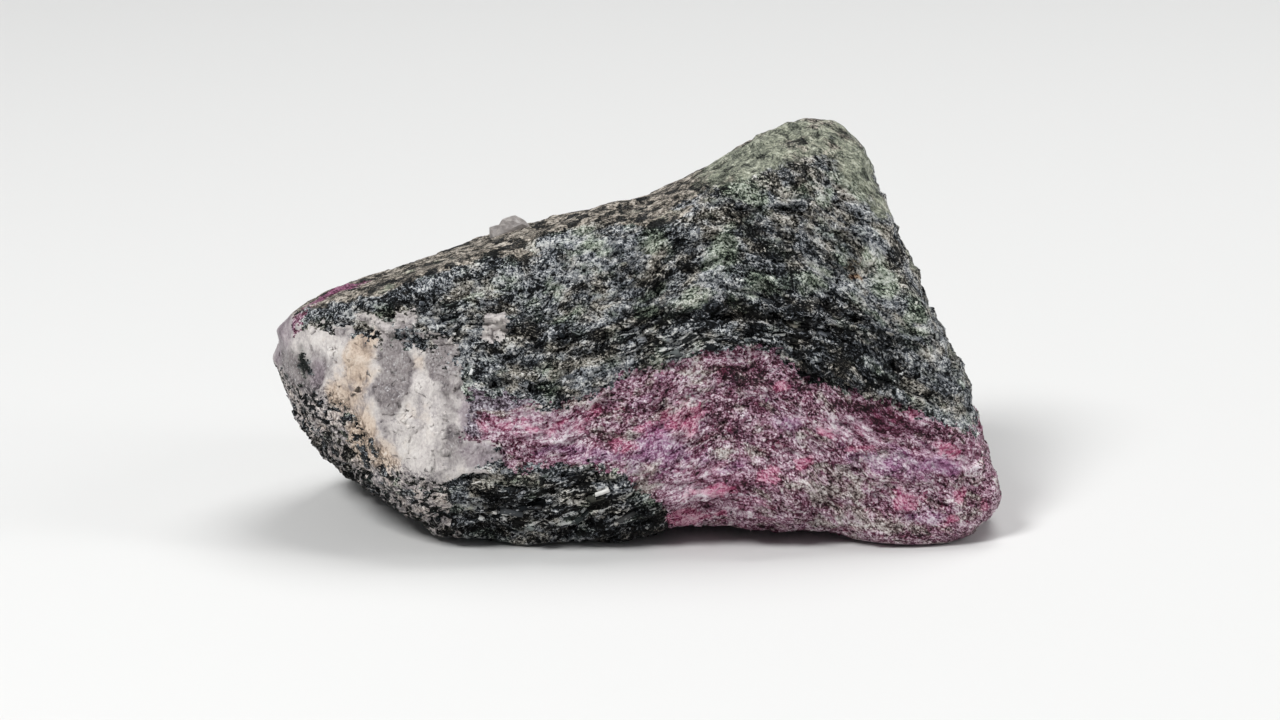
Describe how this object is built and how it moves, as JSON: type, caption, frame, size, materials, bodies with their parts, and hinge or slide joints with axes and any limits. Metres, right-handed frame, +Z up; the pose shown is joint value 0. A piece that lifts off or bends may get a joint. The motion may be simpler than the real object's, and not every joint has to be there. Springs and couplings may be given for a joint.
{
  "type": "ruby in zoisite specimen",
  "caption": "Rough broken hand specimen of ruby in zoisite: a block tapering to a rounded nose, with a pink ruby layer and a white pod in black rock, lying on its flat underside.",
  "frame": {"origin": "middle of the stone's footprint box, on the surface that it lies on", "axes": "+Z up, +X towards the tall thick end, -Y towards the viewer of the broad broken front that shows the ruby layer"},
  "size_m": [0.07, 0.038, 0.038],
  "materials": {
    "stone": "rough broken black and green rock with a pink ruby layer and a white pod"
  },
  "bodies": {
    "root": {"stone": "stone"}
  },
  "joints": []
}
